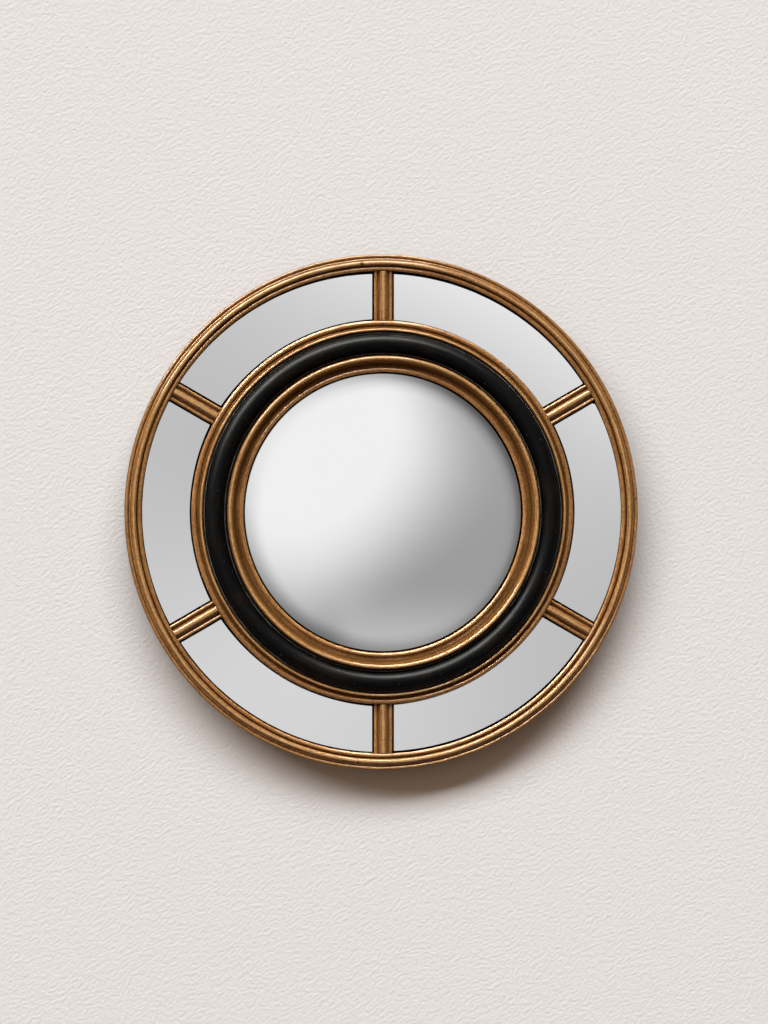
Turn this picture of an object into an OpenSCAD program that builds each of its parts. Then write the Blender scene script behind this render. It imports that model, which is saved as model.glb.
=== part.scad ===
// Round wall mirror: a convex glass inside a black half-round ring, and flat mirror
// plates between bars around it, all carried by two boards in a moulded outer ring.
// The wall is the plane y = 0 and the mirror faces -Y. The origin is the centre of the back.

/* [Overall] */
// Diameter of the whole frame
frame_d = 380; // [360:5:460]
// Diameter of the convex glass that shows
sight_d = 206; // [190:2:224]
// Number of bars, and of flat plates between them
bar_count = 6; // [4:1:8]
// Gap between pieces that are set side by side
set_gap = 0.2; // [0.1:0.05:0.4]
// How far a bead stands proud of its stem
quirk = 0.15; // [0.1:0.05:0.25]

/* [Boards] */
// Thickness of the rear cover
cover_t = 6; // [5:0.5:9]
// Thickness of the ground board that carries the mouldings
ground_t = 6; // [5:0.5:10]
// Wall of the outer ring beside the boards
rebate_wall = 3.6; // [3:0.2:5]
// Gap between the rim of a board and the ring around it
board_gap = 0.3; // [0.2:0.1:0.8]
// Number of screws through the cover
cover_screw_count = 8; // [6:2:12]
// How far the cover screws bite into the outer ring
screw_bite = 2.2; // [1.5:0.1:3]

/* [Outer ring] */
// Diameter of the bead along the outer edge
edge_bead_d = 1.8; // [1.6:0.1:2.4]
// Height of the edge bead above the ground board
edge_bead_rise = 6.8; // [6:0.1:7.2]
// Width of the flat fillet inside the edge bead
outer_fillet_w = 0.8; // [0.6:0.1:2]
// Height of the outer fillet
outer_fillet_rise = 4.2; // [3.4:0.1:4.2]
// Diameter of the bead that backs the crest bead
side_bead_d = 2.4; // [2.2:0.1:3]
// Height of the side bead
side_bead_rise = 6.9; // [6:0.1:7.5]
// Width of the side bead that shows beside the crest bead
side_bead_w = 2; // [1:0.1:2.1]
// Diameter of the crest bead, the highest of the ring
crest_bead_d = 2.5; // [2.2:0.1:3]
// Height of the crest bead
crest_bead_rise = 8.8; // [8.2:0.1:10]
// Width of the sloped fillet inside the crest bead
inner_fillet_w = 1.6; // [1.2:0.1:2.2]
// Height of the inner fillet where it meets the crest bead
inner_fillet_rise = 6.2; // [5:0.1:7]
// Width of the groove beside the inner bead
ring_groove_w = 0.6; // [0.5:0.1:1]
// Height of the groove's floor
ring_groove_rise = 4.4; // [4:0.1:4.8]
// Diameter of the bead along the inner edge
inner_bead_d = 2.8; // [2.4:0.1:3.2]
// Height of the inner bead
inner_bead_rise = 6.9; // [6.5:0.1:8]

/* [Reeded ring] */
// Diameter of the broad reed on the outside
broad_reed_d = 3.9; // [3.4:0.1:4.4]
// Height of the broad reed above the ground board
broad_reed_rise = 7.8; // [7:0.1:8.4]
// Width of the groove between the reeds
reed_groove_w = 0.6; // [0.5:0.1:1]
// Height of the groove's floor
reed_groove_rise = 5.4; // [5:0.1:5.8]
// Width of the sloped fillet between the groove and the high reed
reed_fillet_w = 1.2; // [0.8:0.1:1.6]
// Height of the fillet where it meets the high reed
reed_fillet_rise = 7.9; // [7:0.1:8.6]
// Diameter of the high reed next to the black ring
high_reed_d = 2.2; // [1.8:0.1:2.6]
// Height of the high reed
high_reed_rise = 10.2; // [9.2:0.1:10.6]

/* [Black ring] */
// Width of the black ring
black_w = 17.2; // [14:0.2:22]
// Width of each flat foot beside the half round
black_foot_w = 1.2; // [0.8:0.1:1.8]
// Height of the feet above the ground board
black_foot_rise = 8.2; // [7.8:0.1:9.6]
// Height of the middle of the half round above its feet, negative where it lies below them
black_lift = -0.6; // [-1:0.1:1]

/* [Slip ring] */
// Diameter of the lip bead around the glass
lip_bead_d = 3.8; // [3:0.1:4]
// Height of the lip bead above the ground board
lip_bead_rise = 9.8; // [9:0.1:10.4]
// Height of the lip's underside, which holds the glass
lip_rise = 7; // [6.4:0.1:7.6]
// Width of the cove
cove_w = 3.6; // [2.4:0.1:4]
// Radius of the cove
cove_round = 3.2; // [2.8:0.1:4]
// Drop from the middle of the step bead to the cove's upper edge
cove_drop = 0.8; // [0.7:0.1:1.2]
// Diameter of the step bead above the cove
step_bead_d = 1.2; // [1.1:0.1:2]
// Height of the step bead
step_bead_rise = 12.2; // [12:0.1:13.2]
// Width of the groove between the step bead and the rim bead
slip_groove_w = 0.5; // [0.4:0.1:0.9]
// Height of the groove's floor
slip_groove_rise = 11.9; // [11.2:0.1:12]
// Diameter of the rim bead next to the black ring
rim_bead_d = 3.6; // [3:0.1:4.2]
// Height of the rim bead
rim_bead_rise = 14.8; // [14.4:0.1:16.5]

/* [Bars] */
// Width of the centre bead
bar_bead_d = 5.6; // [4.8:0.1:6.4]
// Height of the centre bead above the ground board
bar_bead_rise = 7.0; // [6.2:0.1:7.6]
// Width of each groove
bar_groove_w = 1.6; // [1.2:0.1:2.2]
// Height of the grooves' floors
bar_groove_rise = 3.6; // [3:0.1:4.1]
// Width of the bead along each side
bar_side_d = 2.3; // [1.8:0.1:2.6]
// Height of the side beads
bar_side_rise = 5.4; // [5:0.1:6.2]

/* [Glass] */
// Thickness of the flat plates
plate_t = 3; // [2:0.5:4]
// Gap around each flat plate
plate_gap = 1.1; // [0.8:0.1:1.8]
// Thickness of the tape under the plates
tape_t = 0.8; // [0.5:0.1:1.2]
// Width of each strip of tape
tape_w = 6; // [4:0.5:8]
// Distance of the tape from the plate's edges
tape_inset = 3; // [2:0.5:5]
// Radius of the convex glass's front
dome_round = 330; // [280:5:420]
// Thickness of the convex glass
dome_t = 2.5; // [2:0.1:3]
// How far the convex glass reaches behind the lip
dome_lap = 3.5; // [3:0.1:4.2]
// Gap around the rim of the convex glass
dome_gap = 0.7; // [0.5:0.1:1]
// Gap between the convex glass and what holds it
dome_seat_gap = 0.3; // [0.3:0.05:0.4]
// Width of the soft gasket behind the convex glass
gasket_w = 7; // [5:0.5:9]
// Thickness of the gasket at its thin side
gasket_t = 1.6; // [1.2:0.1:3]

/* [Hanger] */
// Distance from the rebate's wall in to the hanger's hinge
hanger_inset = 36; // [34:1:38]
// Width of the hanger's strap
strap_w = 12; // [10:0.5:13]
// Length of the strap below the hinge
strap_l = 27; // [26:0.5:29]
// Thickness of the strap
strap_t = 1; // [0.8:0.1:1.2]
// Diameter of the ring's wire
wire_d = 2.5; // [2:0.1:2.8]
// Running clearance around the wire in the strap's curl
hinge_gap = 0.1; // [0.06:0.01:0.1]
// Gap between the curl and the ground board
curl_gap = 0.05; // [0.02:0.01:0.1]
// Gap on each side between the strap's curl and the ring's corners
curl_side_gap = 1; // [0.5:0.25:2]
// Radius of the ring's lower corners, at the middle of the wire
corner_round = 3; // [2.5:0.25:3.5]
// Straight height of the ring's sides above the corners
side_rise = 2; // [1:0.5:4]
// Room in the cover's window around the hanger
window_room = 7; // [5:0.5:8]
// Radius of the window's corners
window_round = 5; // [3:0.5:6]
// Distance from the hinge to the first strap screw
strap_screw_first = 8; // [7:0.5:9]
// Distance between the two strap screws
strap_screw_pitch = 13; // [11:0.5:14]

/* [Screws] */
// Diameter of the screws
screw_d = 3; // [2.5:0.1:3.5]
// Clearance around a screw in its hole
screw_gap = 0.1; // [0.05:0.05:0.2]
// Diameter of a countersunk head
flat_head_d = 5.6; // [5:0.1:6.2]
// Gap around a countersunk head
flat_head_gap = 0.1; // [0.05:0.05:0.3]
// Height of the head's cone
flat_head_t = 1.6; // [1.2:0.1:2]
// How deep a countersunk head sits below the cover's back
flat_head_sink = 0.3; // [0.2:0.1:0.6]
// Diameter of a pan head
pan_head_d = 5.6; // [5:0.1:6.2]
// Height of a pan head
pan_head_t = 1.6; // [1.2:0.1:2]
// Radius of a pan head's domed top
pan_dome_r = 4.5; // [4:0.5:8]
// Length of the strap screws behind their heads
strap_screw_l = 5.5; // [4.5:0.5:5.5]

/* [Hidden] */
// Facets of a circle, of a turned piece and of the convex glass's flat arc, where drawn as a mesh
$fn = 96;
lathe_fn = 180;
dome_fn = 720;
// How far a cutter runs past a face
over = 1;

// Levels, measured forward from the wall
ground_back = cover_t;
ground_front = cover_t + ground_t;
plate_back = ground_front + tape_t;
lip_back = ground_front + lip_rise;

// Radii of the outer ring, from the outside in
frame_r = frame_d / 2;
outer_wall_r = frame_r - quirk;
rebate_r = outer_wall_r - rebate_wall;
board_r = rebate_r - board_gap;
edge_bead_r = frame_r - edge_bead_d / 2;
side_bead_out_r = frame_r - edge_bead_d - outer_fillet_w;
crest_bead_out_r = side_bead_out_r - side_bead_w;
inner_fillet_out_r = crest_bead_out_r - crest_bead_d;
ring_groove_out_r = inner_fillet_out_r - inner_fillet_w;
inner_bead_out_r = ring_groove_out_r - ring_groove_w;
ring_inner_r = inner_bead_out_r - inner_bead_d;

// Radii of the inner rings, from the glass out
sight_r = sight_d / 2;
cove_in_r = sight_r + lip_bead_d;
cove_out_r = cove_in_r + cove_w;
slip_groove_in_r = cove_out_r + step_bead_d;
rim_bead_in_r = slip_groove_in_r + slip_groove_w;
slip_out_r = rim_bead_in_r + rim_bead_d + quirk;
black_in_r = slip_out_r + set_gap;
black_out_r = black_in_r + black_w;
reeded_in_r = black_out_r + set_gap;
high_reed_out_r = reeded_in_r + high_reed_d;
reed_groove_in_r = high_reed_out_r + reed_fillet_w;
broad_reed_in_r = reed_groove_in_r + reed_groove_w;
reeded_out_r = broad_reed_in_r + broad_reed_d;

// Convex glass: its centre of curvature lies behind the wall, and its front meets the lip
dome_r = sight_r + dome_lap;
dome_centre = lip_back - dome_seat_gap - sqrt(dome_round ^ 2 - sight_r ^ 2);
dome_inside = dome_round - dome_t;
dome_rim_back = dome_centre + sqrt(dome_inside ^ 2 - dome_r ^ 2);
bore_r = dome_r + dome_gap;
gasket_r = bore_r - board_gap;
spacer_front = dome_rim_back - dome_seat_gap - gasket_t;

// Bars and flat plates
bar_w = bar_bead_d + 2 * bar_groove_w + 2 * bar_side_d;
bay_angle = 360 / bar_count;
plate_in_r = reeded_out_r + plate_gap;
plate_out_r = ring_inner_r - plate_gap;
plate_offset = bar_w / 2 + plate_gap;

// Screws
hole_r = screw_d / 2 + screw_gap;
cover_screw_r = (ring_inner_r + rebate_r) / 2;
cover_screw_tip = ground_front + screw_bite;

// Hanger: the ring lies upright in the cover's window, as it does on its hook
curl_in_r = wire_d / 2 + hinge_gap;
curl_out_r = curl_in_r + strap_t;
leg_half = strap_w / 2 + curl_side_gap;
bow_round = leg_half + corner_round;
hinge_up = rebate_r - hanger_inset;
hinge_out = ground_back - curl_gap - curl_out_r;
strap_back = ground_back - strap_t;
strap_end_r = 0.6 * strap_w;
bow_up = corner_round + side_rise;
ring_top = bow_up + bow_round + wire_d / 2;
window_w = 2 * (bow_round + wire_d / 2 + window_room);
window_low = hinge_up - strap_l - window_room;
window_top = hinge_up + ring_top + window_room;

gilt = "#A9783F";
ebonised = "#1B1815";
silvered = "#C9CDCF";
board_black = "#2A2622";
board_brown = "#8A6B4A";
foam = "#3A3A3A";
zinc = "#B9BBBD";

function numbered(name) = [for (i = [1:bar_count]) str(name, "_", i)];

// The pieces are drawn lying on their backs, with Z towards the room, and then hung
module hung() { rotate([90, 0, 0]) children(); }

// A lathe-turned piece: in its outline x is the radius and y the height from the wall
module turned() { rotate_extrude($fn = lathe_fn) children(); }

// A round bead on a stem that is a little narrower, which leaves a fine quirk at its sides
module bead(in_r, d, rise, foot_rise = 0) {
    top = ground_front + rise;
    foot = ground_front + foot_rise;
    translate([in_r + d / 2, top - d / 2]) circle(d = d);
    translate([in_r + quirk, foot]) square([d - 2 * quirk, top - d / 2 - foot]);
}

// A flat step of an outline, from one radius to another and up to a height
module step(in_r, out_r, rise, foot = ground_front) {
    translate([in_r, foot]) square([out_r - in_r, ground_front + rise - foot]);
}

// A sloped fillet of an outline, from one height to another
module slope(in_r, out_r, in_rise, out_rise) {
    polygon([[in_r, ground_front], [out_r, ground_front],
             [out_r, ground_front + out_rise], [in_r, ground_front + in_rise]]);
}

// Centre of the circle of radius r through p and q, on the left of the way from p to q
function arc_centre(p, q, r) =
    let (d = q - p, half = norm(d) / 2, side = [-d[1], d[0]] / norm(d))
    (p + q) / 2 + side * sqrt(r ^ 2 - half ^ 2);

module screw_places(count, r) {
    for (i = [0:count - 1]) rotate((i + 0.5) * 360 / count) translate([0, r, 0]) children();
}

module strap_screw_places() {
    for (i = [0:1]) translate([0, hinge_up - strap_screw_first - i * strap_screw_pitch, 0])
        children();
}

// Outer ring, with a rebate behind for the two boards
module outer_ring() {
    color(gilt) hung() difference() {
        turned() {
            step(rebate_r, outer_wall_r, outer_fillet_rise, 0);
            step(ring_inner_r + quirk, rebate_r, outer_fillet_rise);
            step(ring_inner_r + quirk, ring_groove_out_r, ring_groove_rise);
            slope(ring_groove_out_r, inner_fillet_out_r + quirk,
                  ring_groove_rise, inner_fillet_rise);
            bead(frame_r - edge_bead_d, edge_bead_d, edge_bead_rise);
            bead(side_bead_out_r - side_bead_d, side_bead_d, side_bead_rise);
            bead(inner_fillet_out_r, crest_bead_d, crest_bead_rise);
            bead(ring_inner_r, inner_bead_d, inner_bead_rise);
        }
        screw_places(cover_screw_count, cover_screw_r)
            cylinder(r = hole_r, h = cover_screw_tip + screw_gap);
    }
}

// Outline of a bar: a centre bead between two grooves and two side beads
module bar_outline() {
    translate([-bar_w / 2 + quirk, 0]) square([bar_w - 2 * quirk, bar_groove_rise]);
    for (side = [-1, 1]) {
        middle = side * (bar_w - bar_side_d) / 2;
        translate([middle, bar_side_rise - bar_side_d / 2]) circle(d = bar_side_d);
        translate([middle - bar_side_d / 2 + quirk, 0])
            square([bar_side_d - 2 * quirk, bar_side_rise - bar_side_d / 2]);
    }
    translate([0, bar_bead_rise - bar_bead_d / 2]) circle(d = bar_bead_d);
}

// A bar, coped to both rings, at its turn around the glass
module bar(index) {
    color(gilt) hung() rotate(-(index - 1) * bay_angle) intersection() {
        translate([0, ring_inner_r, ground_front])
            rotate([90, 0, 0]) linear_extrude(ring_inner_r - reeded_out_r) bar_outline();
        translate([0, 0, ground_front]) linear_extrude(bar_bead_rise + 1) difference() {
            circle(r = ring_inner_r - set_gap, $fn = lathe_fn);
            circle(r = reeded_out_r + set_gap, $fn = lathe_fn);
        }
    }
}

// Gilt ring outside the black one: a broad low reed and a narrow high one
module reeded_ring() {
    color(gilt) hung() turned() {
        step(reeded_in_r, reeded_out_r - quirk, reed_groove_rise);
        slope(high_reed_out_r - quirk, reed_groove_in_r, reed_fillet_rise, reed_groove_rise);
        bead(reeded_in_r, high_reed_d, high_reed_rise);
        bead(broad_reed_in_r, broad_reed_d, broad_reed_rise);
    }
}

// Black half-round ring between two flat feet
module black_ring() {
    half_round_d = black_w - 2 * black_foot_w;
    middle = (black_in_r + black_out_r) / 2;
    color(ebonised) hung() turned() {
        step(black_in_r, black_out_r, black_foot_rise);
        intersection() {
            translate([middle, ground_front + black_foot_rise + black_lift])
                circle(d = half_round_d);
            step(black_in_r, black_out_r, black_foot_rise + half_round_d);
        }
    }
}

// Gilt slip between the black ring and the glass: its lip holds the glass from the front
module slip_ring() {
    floor_up = ground_front + slip_groove_rise;
    cove_low = [cove_in_r, ground_front + lip_bead_rise - lip_bead_d / 2];
    cove_high = [cove_out_r + quirk,
                 ground_front + step_bead_rise - step_bead_d / 2 - cove_drop];
    color(gilt) hung() turned() difference() {
        union() {
            difference() {
                polygon([
                    [sight_r + quirk, ground_front], [slip_out_r, ground_front],
                    [slip_out_r, floor_up], [cove_high[0], floor_up],
                    cove_high, cove_low, [sight_r + quirk, cove_low[1]]]);
                translate(arc_centre(cove_low, cove_high, cove_round)) circle(r = cove_round);
            }
            bead(sight_r, lip_bead_d, lip_bead_rise, lip_rise);
            bead(cove_out_r, step_bead_d, step_bead_rise);
            bead(rim_bead_in_r, rim_bead_d, rim_bead_rise);
        }
        square([bore_r, lip_back]);
    }
}

// Ground board: a ring behind the mouldings and plates, with a bore for the convex glass
module ground_board() {
    color(board_black) hung() difference() {
        translate([0, 0, ground_back]) linear_extrude(ground_t) difference() {
            circle(r = board_r);
            circle(r = bore_r);
        }
        translate([0, 0, ground_back - over]) {
            screw_places(cover_screw_count, cover_screw_r)
                cylinder(r = hole_r, h = ground_t + 2 * over);
            strap_screw_places()
                cylinder(r = hole_r, h = over + strap_screw_l - strap_t + screw_gap);
        }
    }
}

// The bay between two bars, as a wedge whose sides keep a distance from the bars' middles
module bay(distance) {
    half = bay_angle / 2;
    tip = distance / sin(half);
    reach = 2 * frame_r;
    polygon([[0, tip], [reach * sin(half), tip + reach * cos(half)],
             [-reach * sin(half), tip + reach * cos(half)]]);
}

// A band of a bay, between two radii, with its middle at the top
module bay_band(in_r, out_r, distance) {
    intersection() {
        difference() {
            circle(r = out_r);
            circle(r = in_r);
        }
        bay(distance);
    }
}

function bay_turn(index) = -(index - 0.5) * bay_angle;

// Flat mirror plate in the bay after the bar of the same number
module plate(index) {
    color(silvered) hung() rotate(bay_turn(index)) translate([0, 0, plate_back])
        linear_extrude(plate_t) bay_band(plate_in_r, plate_out_r, plate_offset);
}

// Two strips of foam tape behind each plate
module plate_tapes() {
    color(foam) hung() for (i = [1:bar_count]) rotate(bay_turn(i))
        translate([0, 0, ground_front]) linear_extrude(tape_t) {
            bay_band(plate_in_r + tape_inset, plate_in_r + tape_inset + tape_w,
                     plate_offset + tape_inset);
            bay_band(plate_out_r - tape_inset - tape_w, plate_out_r - tape_inset,
                     plate_offset + tape_inset);
        }
}

// A ball around the dome's centre of curvature, in front of the wall and between two radii
module dome_ball(ball_r, in_r, out_r) {
    intersection() {
        translate([0, dome_centre]) circle(r = ball_r, $fn = dome_fn);
        translate([in_r, 0]) square([out_r - in_r, dome_round]);
    }
}

// Convex mirror glass, silvered behind
module convex_glass() {
    color(silvered) hung() turned() difference() {
        dome_ball(dome_round, 0, dome_r);
        translate([0, dome_centre]) circle(r = dome_inside, $fn = dome_fn);
    }
}

// Soft gasket that follows the back of the convex glass
module glass_gasket() {
    color(foam) hung() turned() difference() {
        dome_ball(dome_inside - dome_seat_gap, gasket_r - gasket_w, gasket_r);
        square([bore_r, spacer_front]);
    }
}

// Ring of board that carries the gasket on the rear cover
module spacer_ring() {
    color(board_brown) hung() turned() translate([gasket_r - gasket_w, ground_back])
        square([gasket_w, spacer_front - ground_back]);
}

// Outline of the window in the rear cover around the hanger
module window_outline() {
    tall = window_top - window_low;
    translate([-window_w / 2, window_low]) {
        translate([window_round, 0]) square([window_w - 2 * window_round, tall]);
        translate([0, window_round]) square([window_w, tall - 2 * window_round]);
        for (x = [window_round, window_w - window_round], y = [window_round, tall - window_round])
            translate([x, y]) circle(r = window_round);
    }
}

// Rear cover, with countersunk holes and the hanger's window
module back_cover() {
    color(board_brown) hung() difference() {
        linear_extrude(cover_t) difference() {
            circle(r = board_r);
            window_outline();
        }
        screw_places(cover_screw_count, cover_screw_r) {
            translate([0, 0, -over]) {
                cylinder(r = hole_r, h = cover_t + 2 * over);
                cylinder(r = flat_head_d / 2 + flat_head_gap, h = over + flat_head_sink);
            }
            translate([0, 0, flat_head_sink])
                cylinder(r1 = flat_head_d / 2 + flat_head_gap, r2 = hole_r, h = flat_head_t);
        }
    }
}

// Countersunk screws that join the cover, the ground board and the outer ring
module cover_screws() {
    color(zinc) hung() screw_places(cover_screw_count, cover_screw_r) {
        translate([0, 0, flat_head_sink])
            cylinder(r1 = flat_head_d / 2, r2 = screw_d / 2, h = flat_head_t);
        translate([0, 0, flat_head_sink + flat_head_t])
            cylinder(d = screw_d, h = cover_screw_tip - flat_head_sink - flat_head_t);
    }
}

// Section of the strap along its length: a plate and the curl for the wire
module strap_section() {
    difference() {
        union() {
            translate([hinge_up, hinge_out]) circle(r = curl_out_r);
            translate([hinge_up - strap_l, strap_back]) square([strap_l, strap_t]);
        }
        translate([hinge_up, hinge_out]) circle(r = curl_in_r);
    }
}

// Hanger's strap, with an arched end and two screw holes
module hanger_strap() {
    color(zinc) hung() difference() {
        intersection() {
            translate([-strap_w / 2, 0, 0]) rotate([90, 0, 90]) linear_extrude(strap_w)
                strap_section();
            linear_extrude(ground_back) {
                translate([0, hinge_up - strap_l + strap_end_r]) circle(r = strap_end_r);
                translate([-strap_w / 2, hinge_up - strap_l + strap_end_r])
                    square([strap_w, strap_l]);
            }
        }
        strap_screw_places() cylinder(r = hole_r, h = ground_back + over);
    }
}

// Screws that hold the strap on the ground board, with domed heads
module hanger_screws() {
    color(zinc) hung() strap_screw_places() {
        rotate_extrude() intersection() {
            translate([0, strap_back - pan_head_t + pan_dome_r]) circle(r = pan_dome_r);
            translate([0, strap_back - pan_head_t - over]) square([pan_head_d / 2, pan_head_t + over]);
        }
        translate([0, 0, strap_back]) cylinder(d = screw_d, h = strap_screw_l);
    }
}

// Ring of round wire: a straight leg in the strap's curl, two corners, two sides and a bow
module hanger_ring() {
    color(zinc) hung() translate([0, hinge_up, hinge_out]) {
        translate([-leg_half, 0, 0]) rotate([0, 90, 0]) cylinder(d = wire_d, h = 2 * leg_half);
        for (side = [0, 1]) mirror([side, 0, 0]) {
            translate([leg_half, corner_round, 0]) rotate(-90)
                rotate_extrude(angle = 90) translate([corner_round, 0]) circle(d = wire_d);
            translate([bow_round, corner_round, 0]) rotate([-90, 0, 0])
                cylinder(d = wire_d, h = side_rise);
        }
        translate([0, bow_up, 0])
            rotate_extrude(angle = 180) translate([bow_round, 0]) circle(d = wire_d);
    }
}

outer_ring();
for (i = [1:bar_count]) bar(i);
reeded_ring();
black_ring();
slip_ring();
ground_board();
for (i = [1:bar_count]) plate(i);
plate_tapes();
convex_glass();
glass_gasket();
spacer_ring();
back_cover();
cover_screws();
hanger_strap();
hanger_ring();
hanger_screws();
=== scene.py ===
import math
import random

import bmesh
import bpy
import numpy as np
from mathutils import Matrix, Vector, noise


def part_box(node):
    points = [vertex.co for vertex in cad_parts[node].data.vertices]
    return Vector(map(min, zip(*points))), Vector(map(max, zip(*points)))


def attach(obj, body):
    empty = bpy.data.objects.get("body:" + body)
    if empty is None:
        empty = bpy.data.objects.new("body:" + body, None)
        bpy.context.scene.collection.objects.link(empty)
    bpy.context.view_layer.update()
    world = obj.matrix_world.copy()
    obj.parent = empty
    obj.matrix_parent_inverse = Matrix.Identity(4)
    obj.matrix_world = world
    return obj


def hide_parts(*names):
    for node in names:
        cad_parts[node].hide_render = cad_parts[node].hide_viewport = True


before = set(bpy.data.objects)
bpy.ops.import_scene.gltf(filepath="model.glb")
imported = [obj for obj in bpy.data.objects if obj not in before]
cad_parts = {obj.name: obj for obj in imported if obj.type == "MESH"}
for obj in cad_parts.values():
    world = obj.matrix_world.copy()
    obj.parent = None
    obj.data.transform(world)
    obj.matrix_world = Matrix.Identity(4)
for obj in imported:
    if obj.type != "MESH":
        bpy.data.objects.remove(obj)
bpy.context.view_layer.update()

print("frame loaded:", len(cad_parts), "nodes")

# Everything is in metres. r is the distance from the mirror's middle and h the height from the
# wall, so a point of a turned piece lies at x = r sin(clock), y = -h, z = r cos(clock).
mm = 0.001


class Link:
    # an output socket; sums, products and so on of links and numbers add Math nodes
    def __init__(self, tree, socket):
        self.tree = tree
        self.socket = socket

    def math(self, operation, first, second=0.0, third=0.0):
        settings = {"operation": operation}
        return self.tree.node("ShaderNodeMath", settings, {0: first, 1: second, 2: third})

    def __add__(self, other):
        return self.math("ADD", self, other)

    def __radd__(self, other):
        return self.math("ADD", other, self)

    def __sub__(self, other):
        return self.math("SUBTRACT", self, other)

    def __rsub__(self, other):
        return self.math("SUBTRACT", other, self)

    def __mul__(self, other):
        return self.math("MULTIPLY", self, other)

    def __rmul__(self, other):
        return self.math("MULTIPLY", other, self)

    def __truediv__(self, other):
        return self.math("DIVIDE", self, other)

    def __rtruediv__(self, other):
        return self.math("DIVIDE", other, self)

    def root(self):
        return self.math("SQRT", self)

    def within(self, limit):
        # no more than the limit either way
        return self.math("MAXIMUM", self.math("MINIMUM", self, limit), -limit)

    def step(self, low, high):
        # 0 below low, 1 above high, and smooth between them
        settings = {"interpolation_type": "SMOOTHSTEP"}
        return self.tree.node("ShaderNodeMapRange", settings, {0: self, 1: low, 2: high, 3: 0.0, 4: 1.0})

    def fall(self, low, high):
        return 1.0 - self.step(low, high)


class Tree:
    def __init__(self, nodeTree):
        self.nodeTree = nodeTree

    # one node of any type: its settings first, then the values or links of its sockets
    def node(self, kind, settings=None, sockets=None, out=0):
        made = self.nodeTree.nodes.new(kind)
        for name, value in (settings or {}).items():
            setattr(made, name, value)
        for key, value in (sockets or {}).items():
            socket = made.inputs[key]
            if isinstance(value, Link):
                self.nodeTree.links.new(value.socket, socket)
            else:
                socket.default_value = value
        return Link(self, made.outputs[out] if made.outputs else None)

    def mixColour(self, share, first, second, blend="MIX"):
        settings = {"data_type": "RGBA", "blend_type": blend}
        sockets = {0: share, 6: asColour(first), 7: asColour(second)}
        return self.node("ShaderNodeMix", settings, sockets, out=2)

    def vector(self, x, y, z):
        return self.node("ShaderNodeCombineXYZ", None, {0: x, 1: y, 2: z})

    def parts(self, vector):
        split = self.node("ShaderNodeSeparateXYZ", None, {0: vector})
        node = split.socket.node
        return [Link(self, node.outputs[i]) for i in range(3)]

    def scaled(self, vector, by):
        settings = {"operation": "MULTIPLY"}
        return self.node("ShaderNodeVectorMath", settings, {0: vector, 1: by})

    def noise(self, vector, scale, detail=2.0, rough=0.5, warp=0.0):
        sockets = {"Vector": vector, "Scale": scale, "Detail": detail, "Roughness": rough,
                   "Distortion": warp}
        return self.node("ShaderNodeTexNoise", None, sockets)

    def attribute(self, name, out=2):
        return self.node("ShaderNodeAttribute", {"attribute_name": name}, None, out)

    # a value stored on the points of a mesh or along its lines
    def stored(self, name):
        return self.node("GeometryNodeInputNamedAttribute", {"data_type": "FLOAT"}, {"Name": name})

    # the geometry with a texture place stored on its points under the name "grain"
    def withGrain(self, geometry, grain):
        settings = {"data_type": "FLOAT_VECTOR", "domain": "POINT"}
        sockets = {"Geometry": geometry, "Name": "grain", "Value": grain}
        return self.node("GeometryNodeStoreNamedAttribute", settings, sockets)

    # the geometry with its points shifted along their normals
    def swollen(self, geometry, amount):
        normal = self.node("GeometryNodeInputNormal")
        shift = self.node("ShaderNodeVectorMath", {"operation": "SCALE"}, {0: normal, "Scale": amount})
        return self.node("GeometryNodeSetPosition", None, {"Geometry": geometry, "Offset": shift})

    # shades the geometry smooth if asked, makes its instances real, paints it and hands it out
    def finished(self, geometry, finish, smooth=True):
        if smooth:
            sockets = {"Geometry": geometry, "Shade Smooth": True}
            geometry = self.node("GeometryNodeSetShadeSmooth", None, sockets)
        real = self.node("GeometryNodeRealizeInstances", None, {"Geometry": geometry})
        painted = self.node("GeometryNodeSetMaterial", None, {"Geometry": real, "Material": finish})
        self.node("NodeGroupOutput", None, {0: painted})
        return self.nodeTree

    def objectPlace(self):
        return self.node("ShaderNodeTexCoord", None, None, out=3)


def asColour(value):
    return value if isinstance(value, Link) else (*value, 1.0)


def newMaterial(name):
    material = bpy.data.materials.new(name)
    material.use_nodes = True
    material.node_tree.nodes.clear()
    return material, Tree(material.node_tree)


# a Principled BSDF with these sockets, straight to the output
def surface(tree, sockets):
    shader = tree.node("ShaderNodeBsdfPrincipled", None, sockets)
    tree.node("ShaderNodeOutputMaterial", None, {0: shader})


def bump(tree, height, strength, distance):
    sockets = {"Strength": strength, "Distance": distance, "Height": height}
    return tree.node("ShaderNodeBump", None, sockets)


giltLook = {
    # gold where it is thin, as it is, and rubbed, which also paints a highlight on the open crests; then
    # wash, which also paints shade in the grooves, primer, and the dark ground coat, which also paints
    # shade in the deepest grooves
    "deep": (0.185, 0.080, 0.023),
    "gold": (0.345, 0.170, 0.056),
    "bright": (0.66, 0.45, 0.20),
    "washAndShade": (0.050, 0.018, 0.003),
    "primer": (0.070, 0.052, 0.030),
    "groundCoatAndShade": (0.045, 0.022, 0.009),
    # how far down from the open crests each layer reaches, 0 in a deep groove and 1 in the open
    "rubbedAndHighlitFrom": (0.86, 1.05), "washAndShadeTo": (0.06, 0.34), "groundCoatAndShadeTo": (0.0, 0.06),
    "rubbedAndHighlit": 0.55, "washAndShadeShare": 0.7, "pitted": 0.75,
    "rough": 0.36, "metallic": 0.03, "coat": 0.5, "coatRough": 0.14, "reliefDepth": 0.0002,
}
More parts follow.
